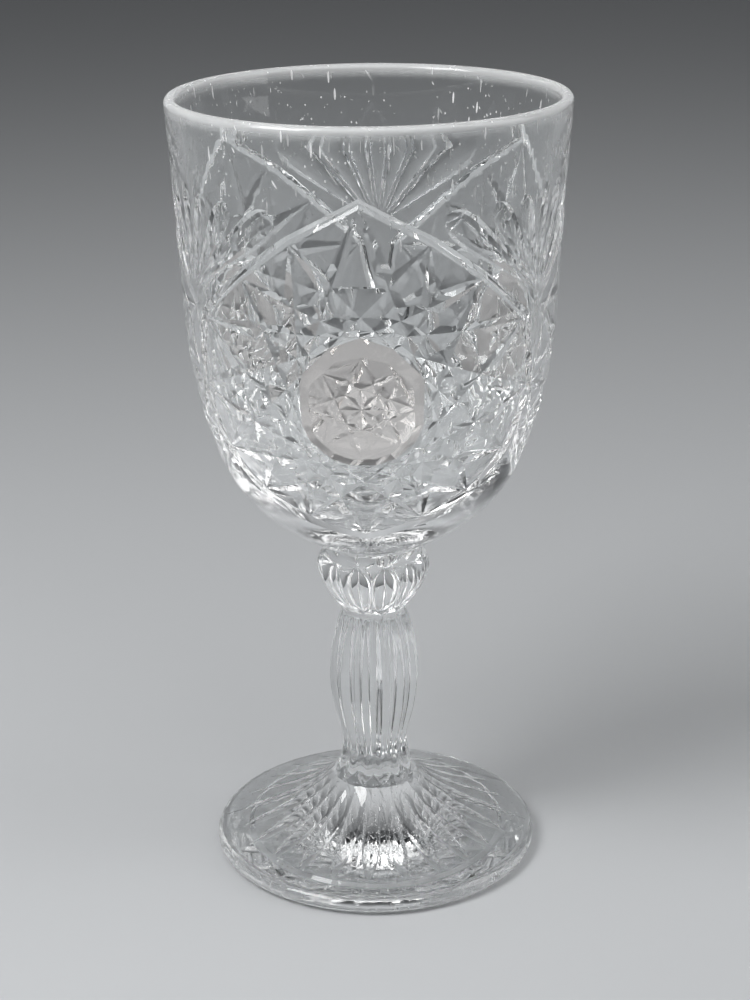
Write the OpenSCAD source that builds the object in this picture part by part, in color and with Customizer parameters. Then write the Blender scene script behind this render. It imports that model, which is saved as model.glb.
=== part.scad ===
// Pressed glass water goblet: a bowl with three sixteen-point star medallions,
// a faceted knop, a fluted baluster stem and a rayed foot.
// The origin is the centre of the foot's underside, +Z is up and a medallion faces -Y.

/* [Bowl] */
// Outside diameter of the rim
rim_d = 80.6; // [74:0.2:86]
// Height of the bowl above its joint with the knop
bowl_h = 95; // [88:1:100]
// Diameter of the joint between the bowl and the knop
bowl_joint_d = 19; // [16:0.5:22]
// Thickness of the rounded rim
rim_t = 2.5; // [2:0.1:3]
// Thickness of the glass under the bottom of the cavity
bowl_floor_t = 7; // [5:0.5:9]

/* [Star medallions] */
// Number of medallions round the bowl
medallion_count = 3; // [3:1:5]
// Plain band between a medallion's top tip and the rim
plain_band_h = 15; // [13:0.5:20]
// Plain glass between a medallion's bottom tip and the bowl's joint
plain_base_h = 11.5; // [10:0.5:14]
// Deepest cut of the star
star_depth = 0.95; // [0.6:0.05:1.2]
// Depth of the panes between the star's points
pane_depth = 0.3; // [0.2:0.05:0.4]
// Width of the grooved border round a medallion
border_w = 2; // [1.4:0.1:2.4]

/* [Fans] */
// Number of rays in each fan
fan_rays = 7; // [3:2:7]
// Angle between neighbouring rays
fan_step_a = 15; // [10:0.5:15]
// Clear glass between the corner where two medallions meet and the root of a fan
fan_root_gap = 4; // [2:0.5:6]
// Plain band between a fan's tips and the rim
fan_band_h = 15; // [13:0.5:20]
// Widest half width of a ray
ray_half_w = 2.7; // [1.6:0.1:2.9]
// Depth of a ray
ray_depth = 0.9; // [0.5:0.05:1]

/* [Knop] */
// Largest diameter of the knop, over its ridges
knop_d = 24; // [22:0.5:27]
// Height of the knop
knop_h = 15; // [13:0.5:17]
// Number of facets round the knop
knop_facets = 12; // [8:1:16]

/* [Stem] */
// Height of the stem between the foot and the knop
stem_h = 39; // [34:1:44]
// Largest diameter of the stem
stem_d = 19.6; // [18:0.1:22]
// Diameter of the stem's upper neck
stem_neck_d = 14; // [13:0.1:15.6]
// Number of flutes round the stem
stem_flutes = 12; // [8:1:16]
// Depth of a flute at the widest part of the stem
flute_depth = 1; // [0.5:0.1:1.3]

/* [Foot] */
// Diameter of the foot
foot_d = 70.4; // [64:0.4:76]
// Height of the foot up to its joint with the stem
foot_h = 16; // [14:0.5:18]
// Thickness of the foot's rounded edge
foot_edge_t = 3.8; // [3:0.1:4.6]
// Diameter of the joint between the foot and the stem
foot_joint_d = 18.4; // [17:0.2:20]
// Width of the flat ring that the goblet rests on
rest_w = 6; // [4:0.5:8]
// Depth of the hollow under the foot
hollow_depth = 1.2; // [0.6:0.1:1.8]
// Number of rays pressed into the foot
foot_rays = 24; // [16:1:28]
// Depth of a ray in the foot
foot_ray_depth = 0.8; // [0.4:0.1:1]

/* [Hidden] */
// How far a cutter stands out of what it cuts
overrun = 8;
// How far a shallow cutter's edges stand out of the glass
lip = 0.25;
stem_z = foot_h;
knop_z = stem_z + stem_h;
bowl_z = knop_z + knop_h;
rim_r = rim_d / 2;
joint_r = bowl_joint_d / 2;
stem_neck_r = stem_neck_d / 2;
foot_joint_r = foot_joint_d / 2;
foot_r = foot_d / 2;
glass_tint = [0.84, 0.91, 0.89];
$fn = 96;

// Steps along each span of a smooth outline
outline_steps = 4;

// A point between b and c on the smooth curve through a, b, c and d
function between(a, b, c, d, t) =
    (2 * b + (c - a) * t + (2 * a - 5 * b + 4 * c - d) * t * t
    + (3 * b - a - 3 * c + d) * t * t * t) / 2;

// A smooth outline through every point but the first and the last, which only steer its ends
function smooth_outline(p, steps) = concat(
    [for (i = [1 : len(p) - 3])
        for (k = [0 : steps - 1]) between(p[i - 1], p[i], p[i + 1], p[i + 2], k / steps)],
    [p[len(p) - 2]]);

// Distance along an outline to its point k
function run_to(p, k) = k == 0 ? 0 : run_to(p, k - 1) + norm(p[k] - p[k - 1]);

// A point at distance w from the axis, at angle a and height z
function at(w, a, z) = [w * sin(a), -w * cos(a), z];

// Bowl outline: radius as a share of the way from the joint to the rim, height as a share of the bowl's
bowl_shares = [
    [-0.1, -0.01], [0, 0], [0.27, 0.054], [0.53, 0.124], [0.7, 0.214], [0.826, 0.325],
    [0.905, 0.453], [0.94, 0.589], [0.95, 0.737], [0.975, 0.88], [1, 1], [1.01, 1.08]];
bowl_line = smooth_outline(
    [for (s = bowl_shares) [joint_r + s[0] * (rim_r - joint_r), s[1] * (bowl_h - rim_t / 2)]],
    outline_steps);
// Cavity outline: radius as a share of the cavity's mouth, height as a share of its depth
cavity_shares = [
    [-0.238, 0.015], [0, 0], [0.238, 0.015], [0.463, 0.062], [0.63, 0.124], [0.755, 0.207], [0.843, 0.31],
    [0.897, 0.42], [0.926, 0.557], [0.9375, 0.716], [0.965, 0.87], [1, 1], [1.01, 1.08]];
cavity_r = rim_r - rim_t;
cavity_h = bowl_h - bowl_floor_t - rim_t / 2;
cavity_line = smooth_outline(
    [for (s = cavity_shares) [s[0] * cavity_r, bowl_floor_t + s[1] * cavity_h]], outline_steps);

// Places on the bowl's outside are found by their distance along its outline
bowl_runs = [for (k = [0 : len(bowl_line) - 1]) run_to(bowl_line, k)];
run_radius = [for (k = [0 : len(bowl_line) - 1]) [bowl_runs[k], bowl_line[k][0]]];
run_height = [for (k = [0 : len(bowl_line) - 1]) [bowl_runs[k], bowl_line[k][1]]];
height_run = [for (k = [0 : len(bowl_line) - 1]) [bowl_line[k][1], bowl_runs[k]]];
// Length of outline over which its slope is taken
slope_run = 1;

function slope_at(run) = atan2(
    lookup(run + slope_run, run_height) - lookup(run - slope_run, run_height),
    lookup(run + slope_run, run_radius) - lookup(run - slope_run, run_radius));

// A point of the bowl's wall: x round it from the line at angle a, run along it, and sunk below it
function on_bowl(x, run, a, sunk) =
    let (w = lookup(run, run_radius), tilt = slope_at(run))
    at(w - sunk * sin(tilt), a + x / w * 180 / PI, lookup(run, run_height) + sunk * cos(tilt));

// The star: sixteen tips, each joined by a straight cut to the tip six places on
tips = 16;
reach = 6;
tip_a = 360 / tips;
// Distance of each tip from the centre, from the top tip round to the bottom one
tip_shares = [1.045, 0.92, 0.905, 1.015, 1, 0.885, 0.81, 0.785, 0.86];
// A medallion fills the outline between the two plain stretches
low_tip_run = lookup(plain_base_h, height_run);
high_tip_run = lookup(bowl_h - plain_band_h, height_run);
medallion_half_h = (high_tip_run - low_tip_run) / (tip_shares[0] + tip_shares[tips / 2]);
medallion_run = low_tip_run + tip_shares[tips / 2] * medallion_half_h;
medallion_z = lookup(medallion_run, run_height);
// The tip at the corner where neighbouring medallions first meet
corner_tip = 3;
// Share of a third of the girth that the medallion fills at its centre
medallion_w_share = 0.975;
medallion_half_w = medallion_w_share * PI / medallion_count * lookup(medallion_run, run_radius);

// Tip k, on the flattened wall, moved out from the centre by the width out
function tip(k, out = 0) =
    let (n = (k % tips + tips) % tips, s = tip_shares[min(n, tips - n)], a = n * tip_a)
    [(s * medallion_half_w + out) * sin(a), (s * medallion_half_h + out) * cos(a)];

// Where the lines a-b and c-d cross
function crossing(a, b, c, d) =
    let (u = b - a, v = d - c, w = c - a)
    a + u * (w[0] * v[1] - w[1] * v[0]) / (u[0] * v[1] - u[1] * v[0]);

// Crossing of the two cuts that lie m half steps to either side of half step q, counted from the centre
function star_node(m, q) =
    m == reach ? tip(q / 2) : crossing(
        tip((q - m) / 2 - reach / 2), tip((q - m) / 2 + reach / 2),
        tip((q + m) / 2 - reach / 2), tip((q + m) / 2 + reach / 2));

// Depth of the star's crossings, from the innermost out to the tips
node_depth_shares = [1, 1, 1, 1, 0.85, 0.33];
// Height of the middle of each lozenge, as a share of the star's depth
lozenge_depth_shares = [0.75, 0.55, 0.4, 0.34];

function flat_mid(p) = [for (k = [0 : 1]) (p[0][k] + p[1][k] + p[2][k] + p[3][k]) / 4];

// Points along the straight border between two tips
border_steps = 4;
border_points = tips * border_steps;
function border_at(k, out) =
    let (n = floor(k / border_steps), t = (k % border_steps) / border_steps)
    tip(n, out) * (1 - t) + tip(n + 1, out) * t;

// Rings of the medallion's button: radius as a share of the button's, depth as a share of the star's
button_rim_share = 0.83;
button_mid_share = 0.36;
button_flat_depth_share = 0.42;
button_cut_depth_share = 0.8;

// Distance outwards to the point that closes a medallion cutter
cutter_peak_share = 1.6;

// Tool that presses one medallion into the wall, centred on angle a
module medallion_tool(a) {
    function press(p, sunk) = on_bowl(p[0], medallion_run + p[1], a, sunk);
    // Points: centre, two button rings, then the star's crossings ring by ring
    centre = [press([0, 0], button_cut_depth_share * star_depth)];
    inner = [for (q = [0 : tips - 1])
        press(star_node(1, 2 * q + 1) * button_mid_share,
            (q % 2 == 0 ? button_flat_depth_share : button_cut_depth_share) * star_depth)];
    rim = [for (q = [0 : tips - 1])
        press(star_node(1, 2 * q + 1) * button_rim_share, button_flat_depth_share * star_depth)];
    rings = [for (m = [1 : reach]) [for (q = [0 : tips - 1])
        press(star_node(m, 2 * q + m % 2), node_depth_shares[m - 1] * star_depth)]];
    mids = [for (m = [1 : reach - 2]) [for (q = [0 : tips - 1])
        let (c = 2 * q + m % 2)
        press(flat_mid([star_node(m, c), star_node(m + 1, c - 1), star_node(m + 1, c + 1),
            star_node(m + 2, c)]), lozenge_depth_shares[m - 1] * star_depth)]];
    edge = [for (k = [0 : border_points - 1]) press(border_at(k, 0), pane_depth)];
    groove = [for (k = [0 : border_points - 1]) press(border_at(k, border_w / 2), star_depth)];
    outer = [for (k = [0 : border_points - 1]) press(border_at(k, border_w), -lip)];
    high = [for (k = [0 : border_points - 1]) press(border_at(k, border_w), -overrun)];
    peak = [at(rim_r * cutter_peak_share, a, medallion_z)];
    pts = concat(centre, inner, rim, [for (r = rings) each r], [for (r = mids) each r],
        edge, groove, outer, high, peak);
    i_inner = 1;
    i_rim = i_inner + tips;
    i_ring = i_rim + tips;
    i_mid = i_ring + reach * tips;
    i_edge = i_mid + (reach - 2) * tips;
    i_groove = i_edge + border_points;
    i_outer = i_groove + border_points;
    i_high = i_outer + border_points;
    i_peak = i_high + border_points;
    function ring(m, c) = i_ring + (m - 1) * tips + ((c - m % 2) / 2 + tips) % tips;
    faces = concat(
        [for (q = [0 : tips - 1]) [0, i_inner + (q + 1) % tips, i_inner + q]],
        [for (q = [0 : tips - 1]) each [
            [i_inner + q, i_inner + (q + 1) % tips, i_rim + (q + 1) % tips],
            [i_inner + q, i_rim + (q + 1) % tips, i_rim + q]]],
        [for (q = [0 : tips - 1]) each [
            [i_rim + q, i_rim + (q + 1) % tips, ring(1, 2 * q + 3)],
            [i_rim + q, ring(1, 2 * q + 3), ring(1, 2 * q + 1)]]],
        [for (q = [0 : tips - 1]) [ring(1, 2 * q + 1), ring(1, 2 * q + 3), ring(2, 2 * q + 2)]],
        [for (m = [1 : reach - 2]) for (q = [0 : tips - 1])
            let (c = 2 * q + m % 2, mid = i_mid + (m - 1) * tips + q) each [
                [mid, ring(m, c), ring(m + 1, c + 1)],
                [mid, ring(m + 1, c + 1), ring(m + 2, c)],
                [mid, ring(m + 2, c), ring(m + 1, c - 1)],
                [mid, ring(m + 1, c - 1), ring(m, c)]]],
        [for (q = [0 : tips - 1]) for (k = [0 : border_steps - 1])
            let (e = q * border_steps + k, f = (e + 1) % border_points,
                near = k == 0 ? ring(reach, 2 * q) : i_edge + e,
                next = k == border_steps - 1 ? ring(reach, 2 * q + 2) : i_edge + f)
            [ring(reach - 1, 2 * q + 1), next, near]],
        [for (q = [0 : tips - 1]) for (k = [0 : border_steps - 1])
            let (e = q * border_steps + k, f = (e + 1) % border_points,
                near = k == 0 ? ring(reach, 2 * q) : i_edge + e,
                next = k == border_steps - 1 ? ring(reach, 2 * q + 2) : i_edge + f)
            each [[near, next, i_groove + f], [near, i_groove + f, i_groove + e]]],
        [for (e = [0 : border_points - 1]) let (f = (e + 1) % border_points)
            each [[i_groove + e, i_groove + f, i_outer + f], [i_groove + e, i_outer + f, i_outer + e],
                [i_outer + e, i_outer + f, i_high + f], [i_outer + e, i_high + f, i_high + e],
                [i_high + e, i_high + f, i_peak]]]);
    polyhedron(pts, faces);
}

// A spindle-like groove along a line: list of [left, bottom, right, top] rings between two end points
module groove_tool(rings, start, end) {
    n = len(rings);
    sides = len(rings[0]);
    pts = concat([start], [for (r = rings) each r], [end]);
    polyhedron(pts, concat(
        [for (k = [0 : sides - 1]) [0, 1 + k, 1 + (k + 1) % sides]],
        [for (j = [0 : n - 2]) for (k = [0 : sides - 1])
            let (p = 1 + j * sides + k, q = 1 + j * sides + (k + 1) % sides)
            each [[p, p + sides, q + sides], [p, q + sides, q]]],
        [for (k = [0 : sides - 1])
            [1 + n * sides, 1 + (n - 1) * sides + (k + 1) % sides, 1 + (n - 1) * sides + k]]));
}

// Steps along a ray
ray_steps = 8;
// Clear glass between the root of a fan and the start of its rays
ray_root_gap = 2.4;
// How far towards its tip a ray is widest: 1 is its middle, more is nearer the tip
ray_swell = 1.4;
fan_root_run = medallion_run + tip(corner_tip)[1] + fan_root_gap;
fan_rise = lookup(bowl_h - fan_band_h, height_run) - fan_root_run;

// Tool that presses one leaf-shaped ray, turned away from upright, into the line at angle a
module fan_ray_tool(a, turn) {
    length = fan_rise / cos(turn);
    function along(s, side, sunk) = on_bowl(
        s * sin(turn) + side * cos(turn), fan_root_run + s * cos(turn) - side * sin(turn), a, sunk);
    rings = [for (j = [1 : ray_steps - 1])
        let (t = j / ray_steps, s = ray_root_gap + t * (length - ray_root_gap),
            swell = sin(180 * pow(t, ray_swell)))
        [along(s, ray_half_w * swell, -lip * swell), along(s, 0, ray_depth * swell),
            along(s, -ray_half_w * swell, -lip * swell), along(s, 0, -lip - overrun * swell)]];
    groove_tool(rings, along(ray_root_gap, 0, -lip), along(length, 0, -lip));
}

module bowl() {
    color(glass_tint)
    translate([0, 0, bowl_z])
    difference() {
        rotate_extrude()
        union() {
            polygon(concat([[0, 0]], bowl_line, [[0, bowl_h - rim_t / 2]]));
            translate([rim_r - rim_t / 2, bowl_h - rim_t / 2]) circle(d = rim_t);
        }
        rotate_extrude()
        polygon(concat(cavity_line, [[cavity_r, bowl_h + overrun], [0, bowl_h + overrun]]));
        for (k = [0 : medallion_count - 1]) {
            medallion_tool(k * 360 / medallion_count);
            for (i = [0 : fan_rays - 1])
                fan_ray_tool((k + 1 / 2) * 360 / medallion_count, (i - (fan_rays - 1) / 2) * fan_step_a);
        }
    }
}

// A solid of revolution whose radius also varies round it: rings of points closed top and bottom
module ringed_solid(rings) {
    n = len(rings);
    sides = len(rings[0]);
    low = rings[0][0][2];
    high = rings[n - 1][0][2];
    pts = concat([for (r = rings) each r], [[0, 0, low], [0, 0, high]]);
    polyhedron(pts, concat(
        [for (j = [0 : n - 2]) for (k = [0 : sides - 1])
            let (p = j * sides + k, q = j * sides + (k + 1) % sides)
            each [[p, p + sides, q + sides], [p, q + sides, q]]],
        [for (k = [0 : sides - 1]) [n * sides, k, (k + 1) % sides]],
        [for (k = [0 : sides - 1])
            [n * sides + 1, (n - 1) * sides + (k + 1) % sides, (n - 1) * sides + k]]));
}

// Knop outline over its ridges, and how flat the facets are at each height
knop_shares = [[0, -0.1], [0, 0], [0.02, 0.08], [0.35, 0.193], [0.78, 0.433], [1, 0.647], [0.89, 0.83]];
knop_line = smooth_outline(concat(
    [for (s = knop_shares) [stem_neck_r + s[0] * (knop_d / 2 - stem_neck_r), s[1] * knop_h]],
    [[joint_r, knop_h], [joint_r, knop_h + overrun]]), outline_steps);
facet_columns = 6;

module knop() {
    sides = knop_facets * facet_columns;
    facet_a = 360 / knop_facets;
    rings = [for (p = knop_line)
        let (flat_share = sin(180 * p[1] / knop_h))
        [for (k = [0 : sides - 1])
            let (a = k * facet_a / facet_columns, off = (a % facet_a) - facet_a / 2,
                flat = cos(facet_a / 2) / cos(off))
            at(p[0] * (1 - flat_share * (1 - flat * flat)), a, knop_z + p[1])]];
    color(glass_tint)
    ringed_solid(rings);
}

// Stem outline over its ridges: radius as a share of the way from the neck to the widest, height share
stem_shares = [[0.06, 0.17], [0.03, 0.23], [0.25, 0.3], [0.6, 0.4], [0.86, 0.5], [1, 0.62],
    [0.9, 0.74], [0.6, 0.86]];
// The flare at the stem's lower end, as shares of the joint's extra radius and the stem's height
flare_r_share = 0.33;
flare_h_share = 0.09;
stem_steps = 2;
stem_line = smooth_outline(concat(
    [[foot_joint_r + lip, -lip], [foot_joint_r, 0],
        [stem_neck_r + flare_r_share * (foot_joint_r - stem_neck_r), flare_h_share * stem_h]],
    [for (s = stem_shares) [stem_neck_r + s[0] * (stem_d / 2 - stem_neck_r), s[1] * stem_h]],
    [[stem_neck_r, stem_h], [stem_neck_r, stem_h + lip]]), stem_steps);
flute_columns = 6;

module stem() {
    sides = stem_flutes * flute_columns;
    flute_a = 360 / stem_flutes;
    rings = [for (p = stem_line)
        [for (k = [0 : sides - 1])
            let (a = k * flute_a / flute_columns, t = (a % flute_a) / flute_a)
            at(p[0] * (1 - flute_depth / (stem_d / 2) * sin(180 * t)), a - flute_a / 2, stem_z + p[1])]];
    color(glass_tint)
    ringed_solid(rings);
}

// Foot outline from the edge up to the joint: radius as a share of the way in, height share of the slope
flat_edge_r = foot_r - foot_edge_t / 2;
foot_steps = 3;
foot_slope_shares = [[0.03, 0.02], [0.118, 0.095], [0.265, 0.2], [0.47, 0.345], [0.69, 0.545], [0.86, 0.76]];
foot_line = smooth_outline(concat(
    [[foot_r, foot_edge_t / 2], [flat_edge_r, foot_edge_t]],
    [for (s = foot_slope_shares)
        [flat_edge_r - s[0] * (flat_edge_r - foot_joint_r),
            foot_edge_t + s[1] * (foot_h - foot_edge_t)]],
    [[foot_joint_r, foot_h], [foot_joint_r, foot_h + foot_edge_t]]), foot_steps);
foot_slope = [for (k = [len(foot_line) - 1 : -1 : 0]) foot_line[k]];
// Where a ray starts and ends, as shares of the foot's radius
ray_start_share = 0.31;
ray_end_share = 0.84;
// Half width of a ray at its start, as a share of the space from one ray to the next
ray_fill_share = 0.49;
// Steps along a ray
foot_ray_steps = 6;
// A ray's depth follows the last part of a half wave, from this angle of it to its end
ray_wave_start_a = 60;

// Tool that presses one ray, tapering to a point towards the edge, into the foot at angle a
module foot_ray_tool(a) {
    start = ray_start_share * foot_r;
    end = ray_end_share * foot_r;
    function top(w, a, sunk) = at(w, a, lookup(w, foot_slope) - sunk);
    rings = [for (j = [0 : foot_ray_steps - 1])
        let (t = j / foot_ray_steps, w = start + t * (end - start),
            half_a = ray_fill_share * 360 / foot_rays * (1 - t * t),
            sunk = foot_ray_depth * sin(ray_wave_start_a + (180 - ray_wave_start_a) * t))
        [top(w, a - half_a, -lip), top(w, a, sunk), top(w, a + half_a, -lip), top(w, a, -overrun)]];
    groove_tool(rings, top(start - lip, a, -lip), top(end, a, -lip));
}

module foot() {
    inner_r = flat_edge_r - rest_w;
    color(glass_tint)
    difference() {
        rotate_extrude()
        union() {
            polygon(concat([[0, 0], [flat_edge_r, 0]], foot_line, [[0, foot_h]]));
            translate([flat_edge_r, foot_edge_t / 2]) circle(d = foot_edge_t);
        }
        rotate_extrude()
        polygon([[0, -overrun], [inner_r + overrun, -overrun], [inner_r, 0],
            [inner_r - hollow_depth, hollow_depth / 2], [inner_r / 2, hollow_depth], [0, hollow_depth]]);
        for (k = [0 : foot_rays - 1]) foot_ray_tool(k * 360 / foot_rays);
    }
}

bowl();
knop();
stem();
foot();
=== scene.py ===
import math

import bmesh
import bpy
import numpy as np
from mathutils import Matrix, Vector


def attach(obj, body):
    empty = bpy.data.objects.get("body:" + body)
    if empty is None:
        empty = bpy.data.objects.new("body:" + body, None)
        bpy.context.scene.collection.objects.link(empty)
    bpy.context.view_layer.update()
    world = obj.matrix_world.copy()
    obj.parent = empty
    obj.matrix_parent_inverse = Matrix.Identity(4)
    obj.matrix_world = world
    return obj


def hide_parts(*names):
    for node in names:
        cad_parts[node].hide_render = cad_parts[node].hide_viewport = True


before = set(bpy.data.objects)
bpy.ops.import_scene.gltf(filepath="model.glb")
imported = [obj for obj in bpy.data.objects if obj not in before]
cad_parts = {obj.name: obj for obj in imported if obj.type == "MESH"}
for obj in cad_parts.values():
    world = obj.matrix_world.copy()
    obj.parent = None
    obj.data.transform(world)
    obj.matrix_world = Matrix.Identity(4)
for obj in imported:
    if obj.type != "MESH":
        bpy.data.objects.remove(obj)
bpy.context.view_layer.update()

# Bowl. The real one is soda-lime glass pressed in a three-part mould, with a sixteen-point star
# medallion on each part and a fan of leaf-shaped hollows between them. Its rim is fire-polished
# round, and its wall flows into the knop, so the joint between the two doesn't show.
MM = 0.001
RIM_R = 40.3
BOWL_H = 95.0
BOWL_JOINT_R = 9.5
RIM_T = 2.5
BOWL_FLOOR_T = 7.0
BOWL_Z = 70.0
MEDALLIONS = 3
PART_HALF_A = math.pi / MEDALLIONS


def smooth_outline(points, steps, passes=0):
    """A smooth line through every point but the first and the last, which only steer its ends. Each pass
    then evens out its curvature, as polished glass has no sudden bends that would glint."""
    line = []
    for a, b, c, d in zip(points, points[1:], points[2:], points[3:]):
        a, b, c, d = (Vector(p) for p in (a, b, c, d))
        for t in (k / steps for k in range(steps)):
            line.append((2 * b + (c - a) * t + (2 * a - 5 * b + 4 * c - d) * t ** 2
                         + (3 * b - a - 3 * c + d) * t ** 3) / 2)
    line.append(Vector(points[-2]))
    for _ in range(passes):
        line[1:-1] = [(a + 2 * b + c) / 4 for a, b, c in zip(line, line[1:], line[2:])]
    return line


def lookup(x, table):
    """The value at x of a table of (x, value) rows, held level past its ends."""
    return float(np.interp(x, [row[0] for row in table], [row[1] for row in table]))


# Outside outline: share of the way from the joint to the rim, and share of the height
BOWL_SHARES = [
    (-0.1, -0.01), (0, 0), (0.27, 0.054), (0.53, 0.124), (0.7, 0.214), (0.826, 0.325), (0.905, 0.453),
    (0.94, 0.589), (0.95, 0.737), (0.975, 0.88), (1, 1), (1.01, 1.08)]
bowl_line = smooth_outline(
    [(BOWL_JOINT_R + s * (RIM_R - BOWL_JOINT_R), h * (BOWL_H - RIM_T / 2)) for s, h in BOWL_SHARES], 16, 40)
runs = [0.0]
for low, high in zip(bowl_line, bowl_line[1:]):
    runs.append(runs[-1] + (high - low).length)
run_radius = [(s, p.x) for s, p in zip(runs, bowl_line)]
run_height = [(s, p.y) for s, p in zip(runs, bowl_line)]
height_run = [(p.y, s) for s, p in zip(runs, bowl_line)]

# The star: sixteen tips, each joined by a straight V-groove to the tip six places on
TIPS = 16
REACH = 6
TIP_SHARES = [1.045, 0.92, 0.905, 1.015, 1, 0.885, 0.81, 0.785, 0.86]
STAR_DEPTH = 0.95
PANE_DEPTH = 0.3
GROOVE_SLOPE = 0.62
# Half width of a groove by its distance from the star's middle, as a share of a tip's: near the middle
# the grooves meet, so that the facets between them rise to a point
GROOVE_WIDTHS = [(0.47, 9), (0.54, 2.2), (0.69, 1.7), (0.85, 1.2), (1, 0.25)]
BORDER_W = 1.8
MEDALLION_W_SHARE = 0.975
LOW_TIP_H = 11.5
RIM_BAND_H = 15.0
low_tip_run = lookup(LOW_TIP_H, height_run)
high_tip_run = lookup(BOWL_H - RIM_BAND_H, height_run)
half_h = (high_tip_run - low_tip_run) / (TIP_SHARES[0] + TIP_SHARES[8])
medallion_run = low_tip_run + TIP_SHARES[8] * half_h
half_w = MEDALLION_W_SHARE * math.pi / MEDALLIONS * lookup(medallion_run, run_radius)


def ring_of(count, place):
    """Points of a ring, place(k, angle) each, clockwise from the top."""
    return [Vector((*place(k, 2 * math.pi * k / count), 0)) for k in range(count)]


def in_order(parts):
    """Parts of a mesh, each once and in the order given, so that every run makes the same mesh."""
    return list(dict.fromkeys(parts))


def cut(bm, faces, point, across):
    """Cuts the faces along the line through point, and returns the faces that lie behind it."""
    parts = in_order([*faces, *(e for f in faces for e in f.edges), *(v for f in faces for v in f.verts)])
    done = bmesh.ops.bisect_plane(bm, geom=parts, dist=0.004, plane_co=point, plane_no=across)
    halves = [g for g in done["geom"] if isinstance(g, bmesh.types.BMFace)]
    return halves, [f for f in halves if (f.calc_center_median() - point).dot(across) < 0]


def cut_outline(bm, faces, corners, out=0.0):
    """Cuts a convex outline, moved outwards by out, and returns the faces inside it."""
    inside = list(faces)
    for a, b in zip(corners, corners[1:] + corners[:1]):
        across = Vector((a.y - b.y, b.x - a.x, 0)).normalized()
        inside = cut(bm, inside, a + across * out, across)[1]
    return inside


def outside_by(p, corners):
    """How far p lies outside a convex outline that is listed clockwise."""
    far = []
    for a, b in zip(corners, corners[1:] + corners[:1]):
        across = Vector((a.y - b.y, b.x - a.x, 0)).normalized()
        far.append((p - a).x * across.x + (p - a).y * across.y)
    return max(far)


def press_star(bm, faces, tips, reach, land, depth, width_scale=1.0, spokes=False):
    """Presses a star into flat faces: V-grooves from tip to tip, with facets standing between them.
    Returns the middle face, or none where spokes cut it up."""
    reach_of = [t.length for t in tips]
    inside = cut_outline(bm, faces, tips)
    for k, tip in enumerate(tips):
        along = tips[(k + reach) % len(tips)] - tip
        inside = cut(bm, inside, tip, Vector((-along.y, along.x, 0)).normalized())[0]
    centre = min(inside, key=lambda f: f.calc_center_median().length)
    if spokes:
        core = [centre]
        centre = None
        for k in range(len(tips) // 2):
            along = tips[k]
            core = cut(bm, core, Vector((0, 0, 0)), Vector((-along.y, along.x, 0)).normalized())[0]
        inside = in_order([*(f for f in inside if f.is_valid), *core])

    def reach_share(p):
        turn = math.atan2(p.x, p.y) / (2 * math.pi) * len(tips) % len(tips)
        low, high = int(turn) % len(tips), (int(turn) + 1) % len(tips)
        tip_r = reach_of[low] * (1 - turn % 1) + reach_of[high] * (turn % 1)
        return math.hypot(p.x, p.y) / tip_r

    def groove_depth(p):
        return land + (depth - land) * lookup(reach_share(p), [(0.58, 1), (0.7, 0.85), (1, 0.02)])

    for face in inside:
        if face == centre:
            continue
        corners = [v.co.copy() for v in face.verts]
        # The point that lies as far from every side, and that distance
        sides = []
        for a, b in zip(corners, corners[1:] + corners[:1]):
            if (b - a).length > 0.02:
                n = Vector((a.y - b.y, b.x - a.x, 0)).normalized()
                if (face.calc_center_median() - a).dot(n) < 0:
                    n = -n
                sides.append((n.x, n.y, -1, n.dot(a)))
        sides = np.array(sides)
        heart_x, heart_y, inner_r = np.linalg.lstsq(sides[:, :3], sides[:, 3], rcond=None)[0]
        heart = Vector((heart_x, heart_y, 0))
        bmesh.ops.inset_individual(bm, faces=[face], thickness=0.01, use_even_offset=True)
        for v in face.verts:
            corner = min(corners, key=lambda c: (c - v.co).length)
            low = groove_depth(corner)
            width = min(lookup(reach_share(corner), GROOVE_WIDTHS) * width_scale, 0.92 * inner_r)
            v.co = corner + (heart - corner) * width / inner_r
            v.co.z = min(low - land, GROOVE_SLOPE * width) - low
    standing = {v for f in inside if f != centre for v in f.verts}
    for v in {e.other_vert(v) for v in standing for e in v.link_edges} - standing:
        v.co.z = -groove_depth(v.co)
    return centre


# One third of the wall is worked flat: x goes round the bowl, y up its outline, z out of the glass
SHEET_HALF_W = 60.0
wall = bmesh.new()
bmesh.ops.create_grid(wall, x_segments=1, y_segments=1, size=1)
for v in wall.verts:
    v.co = Vector((v.co.x * SHEET_HALF_W, (v.co.y + 1) / 2 * runs[-1] - medallion_run, 0))

tips = ring_of(TIPS, lambda k, a: (
    TIP_SHARES[min(k, TIPS - k)] * half_w * math.sin(a), TIP_SHARES[min(k, TIPS - k)] * half_h * math.cos(a)))
medallion = cut_outline(wall, wall.faces[:], tips, out=BORDER_W)
medallion = cut_outline(wall, medallion, tips, out=BORDER_W / 2)
inside = cut_outline(wall, medallion, tips)
border_profile = [(0, -PANE_DEPTH), (BORDER_W / 2, -STAR_DEPTH), (BORDER_W, 0)]
for v in wall.verts:
    v.co.z = lookup(outside_by(v.co, tips), border_profile)
for v in {v for f in inside for v in f.verts}:
    v.co.z = 0
button = press_star(wall, inside, tips, REACH, PANE_DEPTH, STAR_DEPTH)

# The button in the star's middle: sixteen bevelled facets round a flat disc with a smaller star cut in it
DISC_BEVEL_W = 2.0
DISC_R = 10.9
DISC_DEPTH = 0.12
DISC_TIP_R = 10.5
DISC_CUT = 0.42
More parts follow.
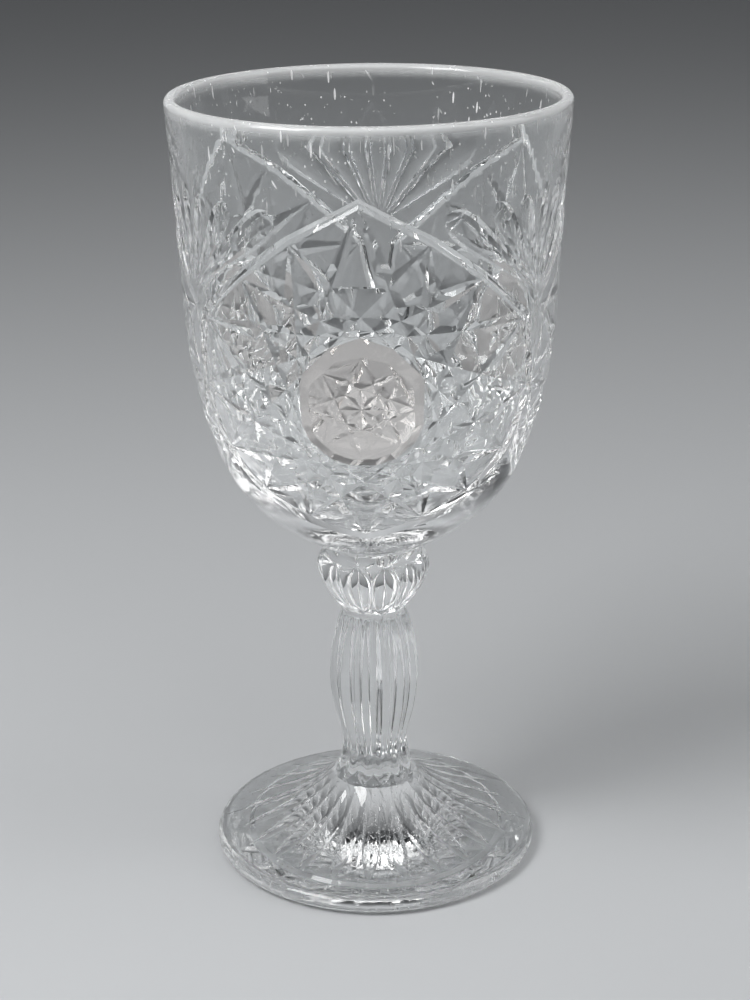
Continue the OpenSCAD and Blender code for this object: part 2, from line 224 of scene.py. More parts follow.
# The bowl's three materials: plain glass, the hidden joint and the button
GLASS, JOINED, BUTTON = range(3)
button.material_index = BUTTON
for v in button.verts:
    v.co.z = -STAR_DEPTH
bmesh.ops.inset_individual(wall, faces=[button], thickness=DISC_BEVEL_W, use_even_offset=True)
for v in button.verts:
    v.co = Vector((v.co.x, v.co.y, 0)).normalized() * DISC_R
    v.co.z = -DISC_DEPTH
disc_tips = ring_of(8, lambda k, a: (DISC_TIP_R * math.sin(a), DISC_TIP_R * math.cos(a)))
press_star(wall, [button], disc_tips, 3, DISC_DEPTH, DISC_DEPTH + DISC_CUT, 0.5, spokes=True)


def whole(bm):
    """Every vertex, edge and face of a mesh, as the operators take them."""
    return bm.verts[:] + bm.edges[:] + bm.faces[:]


def straighten(bm, x, near):
    """Draws points that lie nearer than near to the cut at x onto it, and drops slivers and loose edges."""
    for v in bm.verts:
        if abs(v.co.x - x) < near:
            v.co.x = x
    bmesh.ops.remove_doubles(bm, verts=bm.verts[:], dist=near / 5)
    slivers = [f for f in bm.faces if all(abs(v.co.x - x) < near / 100 for v in f.verts)]
    bmesh.ops.delete(bm, geom=slivers, context="FACES")
    bmesh.ops.delete(bm, geom=[e for e in bm.edges if not e.link_faces], context="EDGES")


# Half of the third is kept and cut into bands, so that it can bend to the round wall
BAND_H = 2.0
BAND_A = math.radians(2)
BAND_COLUMNS = 40
FAN_ZONE_H = 28.0
bmesh.ops.bisect_plane(wall, geom=whole(wall), dist=0.004, plane_co=(0, 0, 0), plane_no=(1, 0, 0),
                       clear_inner=True)
straighten(wall, 0, 0.2)
fan_start = tips[3].y + medallion_run
for k in range(1, int(runs[-1] / BAND_H * 2)):
    if k % 2 == 0 or fan_start < k * BAND_H / 2 < fan_start + FAN_ZONE_H:
        level = (0, k * BAND_H / 2 - medallion_run, 0)
        bmesh.ops.bisect_plane(wall, geom=whole(wall), dist=0.02, plane_co=level, plane_no=(0, 1, 0))
for v in wall.verts:
    v.co.x /= lookup(v.co.y + medallion_run, run_radius)
for k in range(1, BAND_COLUMNS):
    bmesh.ops.bisect_plane(wall, geom=whole(wall), dist=0.0003, plane_co=(k * BAND_A, 0, 0),
                           plane_no=(1, 0, 0))

# A fan: seven leaf-shaped hollows that spread from the corner between two medallions. The outer ones are
# longer and wider, as all tips lie near one line
LEAVES = 7
LEAF_A = math.radians(17.5)
LEAF_HALF_W_SHARE = 0.1
LEAF_REACH_POWER = 0.83
LEAF_DEPTH = 0.72
LEAF_PROFILE = [(0, 1), (0.4, 0.96), (0.75, 0.72), (1, 0)]
LEAF_START = 2.4
STILL_FLAT = 0.0005
FAN_ROOT_GAP = 4.0
fan_root = tips[3].y + FAN_ROOT_GAP
fan_rise = high_tip_run - medallion_run - fan_root
LEAF_WIDTHS = smooth_outline(
    [(-0.1, -0.1), (0, 0.02), (0.25, 0.38), (0.5, 0.73), (0.65, 0.91), (0.77, 1), (0.88, 0.93), (0.96, 0.62),
     (1, 0.08), (1.01, -0.3)], 2)
LEAF_DEPTHS = smooth_outline(
    [(-0.2, 0), (0, 0.1), (0.3, 0.7), (0.6, 1), (0.85, 0.95), (1, 0), (1.1, 0)], 8, 6)
for v in wall.verts:
    v.co.x = (v.co.x - PART_HALF_A) * lookup(v.co.y + medallion_run, run_radius)
root = Vector((0, fan_root, 0))
scoops = set()
for i in range(LEAVES // 2 + 1):
    turn = (i - LEAVES // 2) * LEAF_A
    up = Vector((math.sin(turn), math.cos(turn), 0))
    right = Vector((up.y, -up.x, 0))
    reach = fan_rise / up.y ** LEAF_REACH_POWER
    length = reach - LEAF_START
    leaf = [f for f in wall.faces if (f.calc_center_median() - root).length < fan_rise * 2
            and all(abs(v.co.z) < STILL_FLAT for v in f.verts)]
    for share in [row[0] for row in reversed(LEAF_PROFILE)][:-1]:
        half = [(root + up * (LEAF_START + t * length), right * w * LEAF_HALF_W_SHARE * reach * share)
                for t, w in LEAF_WIDTHS]
        leaf = cut_outline(wall, leaf, [p - w for p, w in half] + [p + w for p, w in reversed(half)])
    cut(wall, leaf, root, right)
    for v in wall.verts:
        t = ((v.co - root).dot(up) - LEAF_START) / length
        if 0 < t < 1 and abs(v.co.z) < STILL_FLAT:
            off = abs((v.co - root).dot(right)) / (LEAF_HALF_W_SHARE * reach * lookup(t, LEAF_WIDTHS))
            if off < 0.999:
                v.co.z = -LEAF_DEPTH * lookup(t, LEAF_DEPTHS) * lookup(off, LEAF_PROFILE)
                scoops |= set(v.link_faces)
for v in wall.verts:
    v.co.x = v.co.x / lookup(v.co.y + medallion_run, run_radius) + PART_HALF_A
bmesh.ops.bisect_plane(wall, geom=whole(wall), dist=0.0003, plane_co=(PART_HALF_A, 0, 0), plane_no=(1, 0, 0),
                       clear_outer=True)
straighten(wall, PART_HALF_A, 0.0004)
straighten(wall, 0, 0.0016)

# Facets meet in crisp edges, measured while the wall is flat. Inside a leaf the slope is rounded
FACET_CREASE = math.radians(4)
LEAF_CREASE = math.radians(40)
for v in wall.verts:
    v.co.x *= RIM_R
for e in wall.edges:
    if len(e.link_faces) == 2:
        in_leaf = e.verts[0].co.y > fan_root and all(f in scoops for f in e.link_faces)
        e.smooth = e.calc_face_angle(0) < (LEAF_CREASE if in_leaf else FACET_CREASE)
for v in wall.verts:
    v.co.x /= RIM_R


def wrap(v):
    """Bends a point of the flat wall to its place on the bowl."""
    run = v.co.y + medallion_run
    r, z = lookup(run, run_radius), lookup(run, run_height)
    tilt = math.atan2(lookup(run + 0.5, run_height) - lookup(run - 0.5, run_height),
                      lookup(run + 0.5, run_radius) - lookup(run - 0.5, run_radius))
    r += v.co.z * math.sin(tilt)
    return Vector((r * math.sin(v.co.x), -r * math.cos(v.co.x), BOWL_Z + z - v.co.z * math.cos(tilt)))


def extrude_ring(bm, loop, place, material=GLASS):
    """Extrudes a closed loop of edges, puts each new vertex where place(v) says, and returns the new loop."""
    new = bmesh.ops.extrude_edge_only(bm, edges=loop)["geom"]
    for v in (g for g in new if isinstance(g, bmesh.types.BMVert)):
        v.co = place(v)
    for f in (g for g in new if isinstance(g, bmesh.types.BMFace)):
        f.material_index = material
        f.smooth = True
    return [g for g in new if isinstance(g, bmesh.types.BMEdge) and g.is_boundary]


def ring_at(r, z):
    """Places a loop's vertices on the circle of radius r at height z, each in its own direction."""
    def place(v):
        out = Vector((v.co.x, v.co.y, 0)).normalized()
        return Vector((out.x * r, out.y * r, z))
    return place


def close_ring(bm, loop, z, material=GLASS):
    """Fills a loop with faces that meet in one point on the axis."""
    loop = extrude_ring(bm, loop, ring_at(0.5, z), material)
    bmesh.ops.pointmerge(bm, verts=in_order(v for e in loop for v in e.verts), merge_co=(0, 0, z))


def piece(name, bm, *nodes, materials, crisp=20):
    """Makes a finished mesh, built in millimetres, into the piece that stands for CAD nodes. Edges sharper
    than crisp degrees stay sharp."""
    bmesh.ops.recalc_face_normals(bm, faces=bm.faces[:])
    for f in bm.faces:
        f.smooth = True
    for e in bm.edges:
        e.smooth = e.smooth and e.calc_face_angle(0) < math.radians(crisp)
    bmesh.ops.scale(bm, vec=(MM, MM, MM), verts=bm.verts[:])
    mesh = bpy.data.meshes.new(name)
    bm.to_mesh(mesh)
    bm.free()
    for material in materials:
        mesh.materials.append(material)
    made = bpy.data.objects.new(name, mesh)
    bpy.context.scene.collection.objects.link(made)
    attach(made, "root")
    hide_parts(*nodes)


bmesh.ops.mirror(wall, geom=whole(wall), matrix=Matrix(), merge_dist=0.0005, axis="X")
for v in wall.verts:
    v.co = wrap(v)
bmesh.ops.recalc_face_normals(wall, faces=wall.faces[:])
bmesh.ops.spin(wall, geom=whole(wall), cent=(0, 0, 0), axis=(0, 0, 1), use_duplicate=True,
               angle=math.radians(360 - 360 / MEDALLIONS), steps=MEDALLIONS - 1)
bmesh.ops.remove_doubles(wall, verts=wall.verts[:], dist=0.003)

# The rim's round bead, then the smooth cavity down to its floor
CAVITY_SHARES = [
    (-0.238, 0.015), (0, 0), (0.238, 0.015), (0.463, 0.062), (0.63, 0.124), (0.755, 0.207), (0.843, 0.31),
    (0.897, 0.42), (0.926, 0.557), (0.9375, 0.716), (0.965, 0.87), (1, 1), (1.01, 1.08)]
CAVITY_R = RIM_R - RIM_T
cavity_h = BOWL_H - BOWL_FLOOR_T - RIM_T / 2
cavity_line = smooth_outline([(s * CAVITY_R, BOWL_FLOOR_T + h * cavity_h) for s, h in CAVITY_SHARES], 8, 10)
top_z = BOWL_Z + BOWL_H - RIM_T / 2
open_edges = [e for e in wall.edges if e.is_boundary]
loop = [e for e in open_edges if min(v.co.z for v in e.verts) > top_z - 0.01]
foot_loop = [e for e in open_edges if max(v.co.z for v in e.verts) < BOWL_Z + 0.01]
ends = {*loop, *foot_loop}
bmesh.ops.holes_fill(wall, edges=[e for e in open_edges if e not in ends], sides=0)
BEAD_STEPS = 12
for k in range(1, BEAD_STEPS + 1):
    a = math.pi * k / BEAD_STEPS
    loop = extrude_ring(wall, loop, ring_at(
        RIM_R - RIM_T / 2 + RIM_T / 2 * math.cos(a), top_z + RIM_T / 2 * math.sin(a)))
for p in reversed(cavity_line[1:-1]):
    loop = extrude_ring(wall, loop, ring_at(p.x, BOWL_Z + p.y))
close_ring(wall, loop, BOWL_Z + BOWL_FLOOR_T)
close_ring(wall, foot_loop, BOWL_Z, JOINED)
POLISHED_CREASE = math.radians(16)
for e in wall.edges:
    if len(e.link_faces) == 2 and e.smooth and e.calc_face_angle(0) > POLISHED_CREASE:
        near = e.verts[0].co
        e.smooth = near.z > top_z - 0.5 or math.hypot(near.x, near.y) < BOWL_JOINT_R - 1


def colour(code, alpha=1.0):
    """A linear colour from its sRGB hex code."""
    parts = [int(code[k:k + 2], 16) / 255 for k in (1, 3, 5)]
    return [c / 12.92 if c <= 0.04045 else ((c + 0.055) / 1.055) ** 2.4 for c in parts] + [alpha]


def add_node(tree, kind, settings=None, sockets=None):
    """Adds a node. Settings are its properties. Sockets are its inputs by name or number, each with its
    value or with the output that feeds it."""
    node = tree.nodes.new(kind)
    for key, value in (settings or {}).items():
        setattr(node, key, value)
    for key, value in (sockets or {}).items():
        if isinstance(value, bpy.types.NodeSocket):
            tree.links.new(value, node.inputs[key])
        else:
            node.inputs[key].default_value = value
    return node


def new_material(name):
    """An empty node material and its output node."""
    material = bpy.data.materials.new(name)
    material.use_nodes = True
    material.node_tree.nodes.clear()
    return material, add_node(material.node_tree, "ShaderNodeOutputMaterial")


# Pressed soda-lime glass, fire-polished: clear, with the faint grey-green that its iron gives
GLASS_IOR = 1.52
pressed_glass, output = new_material("pressed_soda_lime_glass")
tree = pressed_glass.node_tree
where = add_node(tree, "ShaderNodeTexCoord").outputs["Object"]


# Settings that several nodes share, and the numbers of a colour Mix node's two inputs and its result
ADD, MULTIPLY, SUBTRACT, LARGER = (
    {"operation": kind, "use_clamp": True} for kind in ("ADD", "MULTIPLY", "SUBTRACT", "MAXIMUM"))
LESS = {"operation": "LESS_THAN"}
SMOOTH = {"interpolation_type": "SMOOTHSTEP"}
COLOURS = {"data_type": "RGBA"}
MIX_FIRST, MIX_SECOND, MIX_RESULT = 6, 7, 2


def specks(tree, where, cell, size, keep, lean=0.0):
    """Specks in cells of so many millimetres: size is their share of a cell, keep the share of cells that
    hold one."""
    turned = add_node(tree, "ShaderNodeMapping", None, {"Vector": where, "Rotation": (0, lean, 0)})
    scaled = add_node(tree, "ShaderNodeMapping", None, {
        "Vector": turned.outputs[0], "Scale": [1 / (side * MM) for side in cell]})
    cells = add_node(tree, "ShaderNodeTexVoronoi", None, {"Vector": scaled.outputs[0], "Scale": 1.0})
    dot = add_node(tree, "ShaderNodeMath", LESS, {0: cells.outputs["Distance"], 1: size})
    pick = add_node(tree, "ShaderNodeSeparateColor", None, {"Color": cells.outputs["Color"]})
    chosen = add_node(tree, "ShaderNodeMath", LESS, {0: pick.outputs[0], 1: keep})
    return add_node(tree, "ShaderNodeMath", MULTIPLY, {0: dot.outputs[0], 1: chosen.outputs[0]}).outputs[0]


def height_mask(tree, where, low, high):
    """Rises from 0 to 1 between two heights, in millimetres."""
    z = add_node(tree, "ShaderNodeSeparateXYZ", None, {"Vector": where}).outputs["Z"]
    mask = add_node(tree, "ShaderNodeMapRange", SMOOTH, {
        "Value": z, "From Min": low * MM, "From Max": high * MM})
    return mask.outputs["Result"]


# Wear of use, in millimetres: specks and short upright scratches under the rim, and fewer on the foot. Real
# ones are finer, and these are drawn as coarse as they need to show
UPPER_WEAR_FROM, UPPER_WEAR_FULL = 134, 155
FOOT_WEAR_FROM, FOOT_WEAR_FULL, FOOT_WEAR_SHARE = 20, 4, 0.5
# Where the rim's bead turns faintly white, and how much: rubbed wear and a painted highlight
RIM_RUB_AND_HIGHLIGHT_FROM, RIM_RUB_AND_HIGHLIGHT_FULL, RIM_RUB_AND_HIGHLIGHT_SHARE = 161.8, 164.2, 0.36
WEAR_PATCH = 100 / 7
WEAR_DULLNESS, WEAR_ROUGHNESS = 0.8, 0.4
POLISHED_ROUGHNESS = 0.012
patches = add_node(tree, "ShaderNodeTexNoise", None, {
    "Vector": where, "Scale": 1 / (WEAR_PATCH * MM), "Detail": 2.0})
patch = add_node(tree, "ShaderNodeMapRange", SMOOTH, {
    "Value": patches.outputs[0], "From Min": 0.38, "From Max": 0.52})
fine = specks(tree, where, (1.2, 1.2, 1.5), 0.15, 0.3)
upright = specks(tree, where, (1.6, 1.6, 12), 0.14, 0.85)
leaning = specks(tree, where, (1.5, 1.5, 22), 0.11, 0.5, 0.6)
marks = add_node(tree, "ShaderNodeMath", ADD, {0: fine, 1: upright})
marks = add_node(tree, "ShaderNodeMath", ADD, {0: marks.outputs[0], 1: leaning})
marks = add_node(tree, "ShaderNodeMath", MULTIPLY, {0: marks.outputs[0], 1: patch.outputs["Result"]})
high_up = height_mask(tree, where, UPPER_WEAR_FROM, UPPER_WEAR_FULL)
low_down = height_mask(tree, where, FOOT_WEAR_FROM, FOOT_WEAR_FULL)
low_down = add_node(tree, "ShaderNodeMath", MULTIPLY, {0: low_down, 1: FOOT_WEAR_SHARE})
worn = add_node(tree, "ShaderNodeMath", ADD, {0: high_up, 1: low_down.outputs[0]})
wear = add_node(tree, "ShaderNodeMath", MULTIPLY, {0: marks.outputs[0], 1: worn.outputs[0]})
# The rim is rubbed all round and its bead is painted faintly white: partly real wear from the rub, partly a
# painted highlight for the bright band that light makes along the bead
rim_rub_and_highlight = height_mask(tree, where, RIM_RUB_AND_HIGHLIGHT_FROM, RIM_RUB_AND_HIGHLIGHT_FULL)
rim_rub_and_highlight = add_node(tree, "ShaderNodeMath", MULTIPLY, {0: rim_rub_and_highlight, 1: RIM_RUB_AND_HIGHLIGHT_SHARE})
dull = add_node(tree, "ShaderNodeMath", MULTIPLY, {0: wear.outputs[0], 1: WEAR_DULLNESS})
dull = add_node(tree, "ShaderNodeMath", LARGER, {0: dull.outputs[0], 1: rim_rub_and_highlight.outputs[0]}).outputs[0]
clarity = add_node(tree, "ShaderNodeMath", SUBTRACT, {0: 1.0, 1: dull})
roughness = add_node(tree, "ShaderNodeMath", MULTIPLY, {0: wear.outputs[0], 1: WEAR_ROUGHNESS})
roughness = add_node(tree, "ShaderNodeMath", ADD, {0: roughness.outputs[0], 1: POLISHED_ROUGHNESS})
# The glass turns white and less clear where it is dull: worn specks and scratches, and on the rim's bead a
# painted highlight as well
tint = add_node(tree, "ShaderNodeMix", COLOURS, {
    "Factor": dull, MIX_FIRST: colour("#fdfefe"), MIX_SECOND: colour("#ffffff")})
glass = add_node(tree, "ShaderNodeBsdfPrincipled", None, {
    "Base Color": tint.outputs[MIX_RESULT], "Roughness": roughness.outputs[0],
    "Transmission Weight": clarity.outputs[0], "IOR": GLASS_IOR})
tree.links.new(glass.outputs[0], output.inputs["Surface"])

# The same glass where two pieces are one body in the real goblet: nothing shows at the joint
joined_glass, output = new_material("joined_glass")
clear = add_node(joined_glass.node_tree, "ShaderNodeBsdfTransparent")
joined_glass.node_tree.links.new(clear.outputs[0], output.inputs["Surface"])

# The button is painted a little milky and warm white, a painted brightness for the light that falls on it
# from behind. Its surface is a touch rougher than the rest
button_glass_painted_light, output = new_material("button_glass_painted_light")
tree = button_glass_painted_light.node_tree
glass = add_node(tree, "ShaderNodeBsdfPrincipled", None, {
    "Base Color": colour("#fdf4ef"), "Roughness": 0.02, "Transmission Weight": 0.95, "IOR": GLASS_IOR})
tree.links.new(glass.outputs[0], output.inputs["Surface"])

piece("bowl_glass", wall, "bowl", materials=[pressed_glass, joined_glass, button_glass_painted_light], crisp=40)

# Knop. A ring of twelve flat petals between bowl and stem, pressed with them as one body of glass.
# Each petal is an arch above and a rounded point below, and they meet in soft ridges.
KNOP_Z = 55.0
KNOP_H = 15.0
KNOP_R = 12.0
NECK_R = 7.0
PETALS = 12
PETAL_HALF_A = math.pi / PETALS
KNOP_SHARES = [(0, -0.1), (0, 0), (0.02, 0.08), (0.35, 0.193), (0.78, 0.433), (1, 0.647), (0.89, 0.83)]
knop_line = smooth_outline(
    [(NECK_R + s * (KNOP_R - NECK_R), h * KNOP_H) for s, h in KNOP_SHARES]
    + [(BOWL_JOINT_R, KNOP_H), (BOWL_JOINT_R, KNOP_H + 8)], 12, 10)
# Half width of a petal at each height, as a share of the room that it has
PETAL_WIDTHS = smooth_outline(
    [(0, 0), (0.09, 0.15), (0.14, 0.6), (0.22, 0.87), (0.35, 0.96), (0.6, 0.97), (0.72, 0.9), (0.8, 0.66),
     (0.86, 0.3), (0.88, 0.1), (0.9, 0)], 4, 2)
PETAL_LEVEL = [(0.08, 0), (0.13, 1), (0.82, 1), (0.88, 0)]
PETAL_HOLLOW = 0.95
PETAL_COLUMNS = [-1, -0.95, -0.75, -0.5, -0.25, 0, 0.25, 0.5, 0.75, 0.95, 1]


def start_ring(points):
    """A new mesh with one closed ring of vertices, each marked with its column, and the ring's edges."""
    bm = bmesh.new()
    column = bm.verts.layers.int.new("column")
    ring = bmesh.ops.create_circle(bm, segments=len(points), radius=1)["verts"]
    for k, v in enumerate(ring):
        v[column] = k
        v.co = points[k]
    return bm, column, bm.edges[:]


def around(r, a, z):
    """A point at distance r from the axis, turned by a from the front, at height z."""
    return Vector((r * math.sin(a), -r * math.cos(a), z))


def build_rings(rings):
    """A mesh through rings of points from bottom to top, and its two end loops."""
    bm, column, first = start_ring(rings[0])
    loop = first
    for ring in rings[1:]:
        loop = extrude_ring(bm, loop, lambda v: ring[v[column]])
    return bm, first, loop


rings = []
for p in knop_line:
    share = p.y / KNOP_H
    half_a = lookup(share, PETAL_WIDTHS) * PETAL_HALF_A
    ring = []
    for k in range(PETALS):
        for u in PETAL_COLUMNS:
            flat = p.x * math.cos(half_a) / math.cos(half_a * u) - PETAL_HOLLOW * (1 - u * u)
            r = p.x + (flat - p.x) * lookup(share, PETAL_LEVEL)
            ring.append(around(r, (2 * k + 1) * PETAL_HALF_A + half_a * u, KNOP_Z + p.y))
    rings.append(ring)
knop_mesh, low_loop, high_loop = build_rings(rings)
close_ring(knop_mesh, low_loop, KNOP_Z, JOINED)
close_ring(knop_mesh, high_loop, KNOP_Z + KNOP_H, JOINED)
piece("knop_glass", knop_mesh, "knop", materials=[pressed_glass, joined_glass], crisp=24)

# Stem. A solid baluster with twelve hollow flutes that run out at the knop above. Below, each flute
# ends on the foot in a small arched step, which makes a zigzag line round the stem.
STEM_Z = 16.0
STEM_H = 39.0
STEM_R = 9.8
FOOT_JOINT_R = 9.2
FLUTES = 12
FLUTE_HALF_A = math.pi / FLUTES
FLUTE_DEPTH_SHARE = 0.11
FLUTE_ROUNDING = 1.5
STEM_SHARES = [
    (0.06, 0.17), (0.03, 0.23), (0.25, 0.3), (0.6, 0.4), (0.86, 0.5), (1, 0.62), (0.9, 0.74), (0.6, 0.86)]
stem_line = smooth_outline(
    [(FOOT_JOINT_R + 1, -1), (FOOT_JOINT_R, 0), (NECK_R + 0.68 * (FOOT_JOINT_R - NECK_R), 0.025 * STEM_H),
     (NECK_R + 0.33 * (FOOT_JOINT_R - NECK_R), 0.09 * STEM_H)]
    + [(NECK_R + s * (STEM_R - NECK_R), h * STEM_H) for s, h in STEM_SHARES]
    + [(NECK_R, STEM_H), (NECK_R, STEM_H + 0.3)], 8, 12)
stem_radius = [(p.y, p.x) for p in stem_line]
FLUTE_COLUMNS = [-1, -0.9, -0.75, -0.6, -0.4, -0.2, 0, 0.2, 0.4, 0.6, 0.75, 0.9]
FLUTE_FADE = [(0, 1), (0.982, 1), (1, 0)]
STEP_LOW, STEP_HIGH, STEP_OUT = 0.4, 2.5, 0.22
STEP_SWELL_H = 1.2
STEP_EASE_H = 8.0


def stem_ring(height, out=0.0, fluted=1.0, step=0.0):
    """A ring of the stem at a height, whose step share lifts it along the zigzag line."""
    ring = []
    for k in range(FLUTES):
        for u in FLUTE_COLUMNS:
            z = height + step * (STEP_LOW + (STEP_HIGH - STEP_LOW) * (1 - abs(u)))
            hollow = FLUTE_DEPTH_SHARE * math.cos(math.pi / 2 * u) ** FLUTE_ROUNDING * fluted
            hollow *= lookup(z / STEM_H, FLUTE_FADE)
            r = lookup(z, stem_radius) + out * min(1, z / STEP_SWELL_H)
            ring.append(around(r * (1 - hollow), (2 * k + u) * FLUTE_HALF_A, STEM_Z + z))
    return ring


# The step's own rings: height beside the zigzag line, share of its swell, share of the flutes' depth
STEP_RINGS = [(-0.35, 1, 0.3), (-0.08, 1, 0.4), (0.02, 0.75, 0.6), (0.1, 0, 1)]
rings = [stem_ring(0, fluted=0)] + [stem_ring(h, STEP_OUT * swell, deep, 1) for h, swell, deep in STEP_RINGS]
for k in range(1, 8):
    share = k / 8
    rings.append(stem_ring(share * STEP_EASE_H, step=(1 - share)))
for k in range(1, 49):
    rings.append(stem_ring(STEP_EASE_H + (STEM_H - STEP_EASE_H) * k / 48))
stem_mesh, low_loop, high_loop = build_rings(rings)
close_ring(stem_mesh, low_loop, STEM_Z, JOINED)
close_ring(stem_mesh, high_loop, STEM_Z + STEM_H, JOINED)
piece("stem_glass", stem_mesh, "stem", materials=[pressed_glass, joined_glass])

# Foot. A flared disc with twenty-four pointed rays pressed into its top and a thick polished edge.
# It rests on a flat ring, and the mould's parting line crosses it as a hair-thin ridge left and right.
FOOT_R = 35.2
FOOT_EDGE_T = 3.8
EDGE_STEPS = 24
REST_W = 6.0
HOLLOW_DEPTH = 1.2
RAYS = 24
RAY_PITCH = 2 * math.pi / RAYS
RAY_DEPTH = 0.45
RAY_SIDES = [(0.1, 2), (0.5, 4), (1, 5)]
RAY_START, RAY_END = 9.6, 29.6
RAY_WIDTHS = smooth_outline(
    [(-0.3, 0.5), (0, 0.495), (0.3, 0.445), (0.6, 0.34), (0.8, 0.235), (0.93, 0.13), (1, 0.02), (1.05, -0.1)],
    8, 20)
RAY_DEPTHS = smooth_outline(
    [(-0.2, 0), (-0.02, 0), (0.08, 0.45), (0.35, 1), (0.65, 0.95), (0.88, 0.6), (1, 0), (1.1, 0)], 8, 6)
SEAM_HEIGHT = 0.13
FOOT_SLOPE_SHARES = [
    (0.03, 0.02), (0.118, 0.095), (0.265, 0.2), (0.47, 0.345), (0.69, 0.545), (0.86, 0.76)]
flat_edge_r = FOOT_R - FOOT_EDGE_T / 2
foot_line = smooth_outline(
    [(FOOT_R, FOOT_EDGE_T / 2), (flat_edge_r, FOOT_EDGE_T)]
    + [(flat_edge_r - s * (flat_edge_r - FOOT_JOINT_R), FOOT_EDGE_T + h * (STEM_Z - FOOT_EDGE_T))
       for s, h in FOOT_SLOPE_SHARES]
    + [(FOOT_JOINT_R, STEM_Z), (FOOT_JOINT_R, STEM_Z + FOOT_EDGE_T)], 8, 60)
RAY_COLUMNS = [-1, -0.9, -0.75, -0.5, -0.25, 0, 0.25, 0.5, 0.75, 0.9]
LAND_COLUMNS = [0, 0.5]


def foot_ring(r, z, rayed=True):
    """A ring of the foot: its rays sink into it, and the parting line stands on it."""
    t = (r - RAY_START) / (RAY_END - RAY_START)
    half_a = lookup(t, RAY_WIDTHS) * RAY_PITCH
    ring = []
    for k in range(RAYS):
        seam = SEAM_HEIGHT if rayed and k in (RAYS // 4, 3 * RAYS // 4) and r < flat_edge_r else 0
        for u in RAY_COLUMNS:
            sunk = RAY_DEPTH * lookup(t, RAY_DEPTHS) * (1 - abs(u) ** lookup(t, RAY_SIDES)) * rayed
            ring.append(around(r, k * RAY_PITCH + u * half_a, z - sunk + seam * (abs(u) < 0.1)))
        for u in LAND_COLUMNS:
            ring.append(around(r, k * RAY_PITCH + half_a + u * (RAY_PITCH - 2 * half_a), z))
    return ring


inner_r = flat_edge_r - REST_W
# Under the foot, from the middle out: the hollow, its soft step down and the flat ring
under_line = [
    (1.5, HOLLOW_DEPTH), (inner_r / 4, HOLLOW_DEPTH), (inner_r / 2, HOLLOW_DEPTH),
    (inner_r * 0.8, HOLLOW_DEPTH * 0.75), (inner_r - HOLLOW_DEPTH, HOLLOW_DEPTH / 2), (inner_r - 0.3, 0.05),
    (inner_r, 0), (inner_r + 0.4, 0), (flat_edge_r - 0.4, 0), (flat_edge_r, 0)]
rings = [foot_ring(r, z, False) for r, z in under_line]
edge_r = FOOT_EDGE_T / 2
for k in range(1, EDGE_STEPS):
    a = -math.pi / 2 + math.pi * k / EDGE_STEPS
    rings.append(foot_ring(flat_edge_r + edge_r * math.cos(a), edge_r * (1 + math.sin(a)), False))
rings += [foot_ring(p.x, p.y) for p in foot_line]
foot_mesh, low_loop, high_loop = build_rings(rings)
close_ring(foot_mesh, low_loop, HOLLOW_DEPTH)
close_ring(foot_mesh, high_loop, STEM_Z, JOINED)
piece("foot_glass", foot_mesh, "foot", materials=[pressed_glass, joined_glass], crisp=16)

# Studio. A plain pale floor that runs out past the picture, three soft lamps, and a plain sky that is
# brighter low behind the goblet.
FLOOR_R = 4.0
FLOOR_DROP = 0.0003
floor_mesh = bmesh.new()
bmesh.ops.create_circle(floor_mesh, cap_ends=True, segments=96, radius=FLOOR_R)
bmesh.ops.translate(floor_mesh, verts=floor_mesh.verts[:], vec=(0, 0, -FLOOR_DROP))
floor_data = bpy.data.meshes.new("floor")
floor_mesh.to_mesh(floor_data)
floor = bpy.data.objects.new("floor", floor_data)
bpy.context.scene.collection.objects.link(floor)
floor_paint, output = new_material("floor_paper")
tree = floor_paint.node_tree
paper = add_node(tree, "ShaderNodeBsdfPrincipled", None, {
    "Base Color": colour("#c6c8ca"), "Roughness": 0.8})
tree.links.new(paper.outputs[0], output.inputs["Surface"])
floor_data.materials.append(floor_paint)

world = bpy.data.worlds.new("studio")
bpy.context.scene.world = world
world.use_nodes = True
sky = world.node_tree
sky.nodes.clear()
direction = add_node(sky, "ShaderNodeTexCoord")
split = add_node(sky, "ShaderNodeSeparateXYZ", None, {"Vector": direction.outputs["Generated"]})
ramp = add_node(sky, "ShaderNodeValToRGB", None, {"Fac": split.outputs["Z"]})
ramp.color_ramp.elements[0].position = 0.05
ramp.color_ramp.elements[0].color = colour("#85888b")
ramp.color_ramp.elements[1].position = 0.35
ramp.color_ramp.elements[1].color = colour("#1c1d1f")
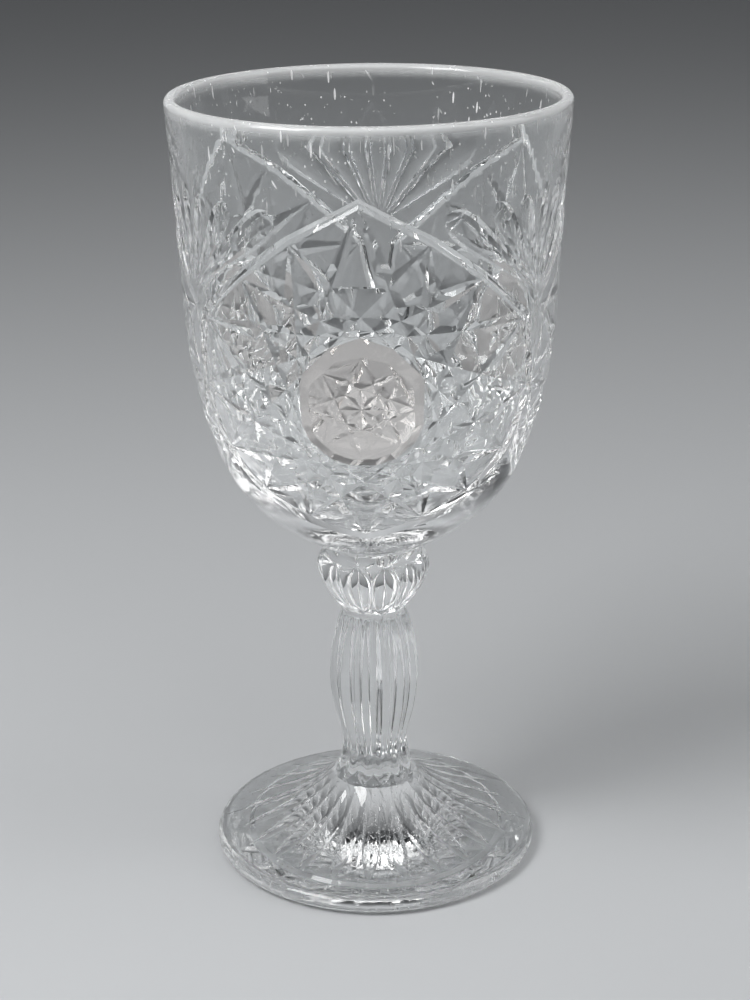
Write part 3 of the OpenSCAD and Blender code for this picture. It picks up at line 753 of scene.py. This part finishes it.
# Behind the goblet the sky is brighter, like a big soft panel above the floor's far edge
behind = add_node(sky, "ShaderNodeMapRange", SMOOTH, {
    "Value": split.outputs["Y"], "From Min": 0.0, "From Max": 0.6})
low = add_node(sky, "ShaderNodeMapRange", SMOOTH, {
    "Value": split.outputs["Z"], "From Min": 0.88, "From Max": 0.15})
low_behind = add_node(sky, "ShaderNodeMath", MULTIPLY, {
    0: behind.outputs["Result"], 1: low.outputs["Result"]})
panel = add_node(sky, "ShaderNodeMix", COLOURS, {
    "Factor": low_behind.outputs[0], MIX_FIRST: ramp.outputs["Color"], MIX_SECOND: colour("#bcbec0")})
light = add_node(sky, "ShaderNodeBackground", None, {"Color": panel.outputs[MIX_RESULT], "Strength": 1.0})
add_node(sky, "ShaderNodeOutputWorld", None, {"Surface": light.outputs[0]})

# Each lamp faces the goblet: where it stands, its size and its power in watts
LAMPS_AIM = Vector((0, 0, 0.08))
for name, place, size, power in (
        ("key_lamp", (-0.4, -0.3, 0.6), (0.35, 0.35), 3.7),
        ("fill_lamp", (0.75, -0.05, 0.5), (0.5, 0.8), 2.0),
        ("top_lamp", (0.05, -0.3, 0.85), (0.9, 0.7), 3.2)):
    lamp_data = bpy.data.lights.new(name, "AREA")
    lamp_data.shape = "RECTANGLE"
    lamp_data.size, lamp_data.size_y = size
    lamp_data.energy = power
    lamp = bpy.data.objects.new(name, lamp_data)
    bpy.context.scene.collection.objects.link(lamp)
    lamp.location = place
    lamp.rotation_euler = (LAMPS_AIM - lamp.location).to_track_quat("-Z", "Y").to_euler()

# Camera. It looks at the goblet from the front and a little above, and its distance, height, tilt, roll
# and lens are matched to the photograph.
CAMERA_OUT, CAMERA_UP = 0.4003, 0.2278
CAMERA_TURN, CAMERA_TILT, CAMERA_ROLL = (math.radians(a) for a in (3.0, 20.33, -0.565))
camera_data = bpy.data.cameras.new("camera")
camera_data.lens = 72.79
camera_data.shift_x = 0.00246
camera_data.clip_start = 0.01
camera = bpy.data.objects.new("camera", camera_data)
bpy.context.scene.collection.objects.link(camera)
camera.matrix_world = (
    Matrix.Translation((CAMERA_OUT * math.sin(CAMERA_TURN), -CAMERA_OUT * math.cos(CAMERA_TURN), CAMERA_UP))
    @ Matrix.Rotation(CAMERA_TURN, 4, "Z") @ Matrix.Rotation(math.pi / 2 - CAMERA_TILT, 4, "X")
    @ Matrix.Rotation(CAMERA_ROLL, 4, "Z"))
scene = bpy.context.scene
scene.camera = camera
scene.view_settings.view_transform = "Standard"
scene.cycles.max_bounces = 64
scene.cycles.transmission_bounces = 64
scene.cycles.glossy_bounces = 64
scene.cycles.transparent_max_bounces = 32
scene.cycles.sample_clamp_indirect = 30
